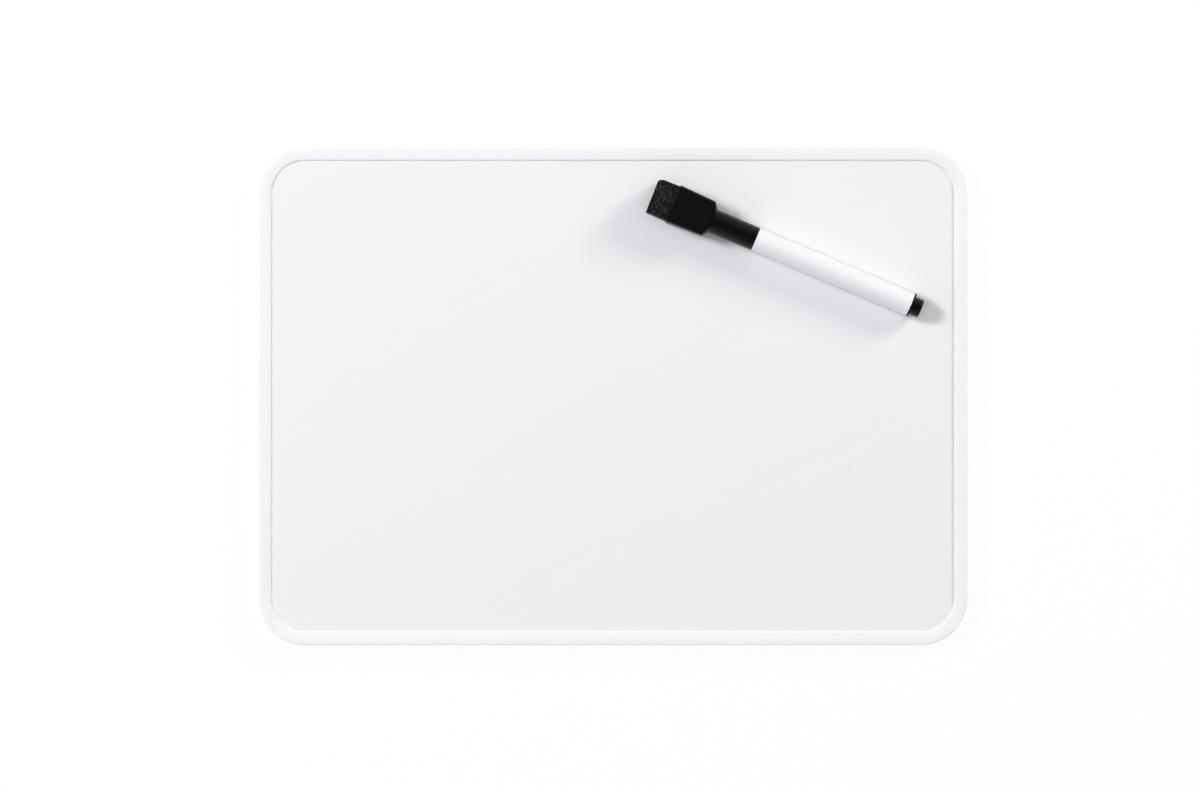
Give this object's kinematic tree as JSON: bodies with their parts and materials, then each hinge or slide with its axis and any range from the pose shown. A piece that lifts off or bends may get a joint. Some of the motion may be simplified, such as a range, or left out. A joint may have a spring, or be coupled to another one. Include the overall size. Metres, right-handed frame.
{
  "type": "dry-erase lap board",
  "caption": "Rounded lap-size whiteboard in a slim white frame, with a fine dry-erase marker lying on it whose pull-off cap carries a felt eraser.",
  "frame": {"origin": "bottom centre of the board, on the surface that it lies on", "axes": "+X along the board's long side, +Y up the writing face, +Z out of the writing face"},
  "size_m": [0.2986, 0.2094, 0.0179],
  "materials": {
    "frame_plastic": "satin white",
    "writing_film": "gloss white",
    "hardboard": "smooth fibreboard",
    "backing": "matt white",
    "barrel_plastic": "gloss white",
    "cap_plastic": "satin black",
    "felt": "pressed felt, charcoal",
    "nib_fibre": "bonded fibre, inked",
    "ink_fibre": "fibre rod, inked",
    "wrap_film": "clear film"
  },
  "bodies": {
    "board": {"front_frame": "frame_plastic", "rear_frame": "frame_plastic", "writing_sheet": "writing_film", "core_board": "hardboard", "back_sheet": "backing"},
    "marker": {"barrel": "barrel_plastic", "nib": "nib_fibre", "ink_reservoir": "ink_fibre", "reservoir_film": "wrap_film", "end_plug": "cap_plastic"},
    "cap": {"cap": "cap_plastic", "eraser_felt": "felt"}
  },
  "joints": [
    {"name": "marker_lift", "type": "slide", "parent": "board", "child": "marker", "axis": [0, 0, 1], "range_m": [0, 0.12]},
    {"name": "cap_pull", "type": "slide", "parent": "marker", "child": "cap", "axis": [-0.9208, 0.3899, 0.0069], "range_m": [0, 0.02]}
  ]
}
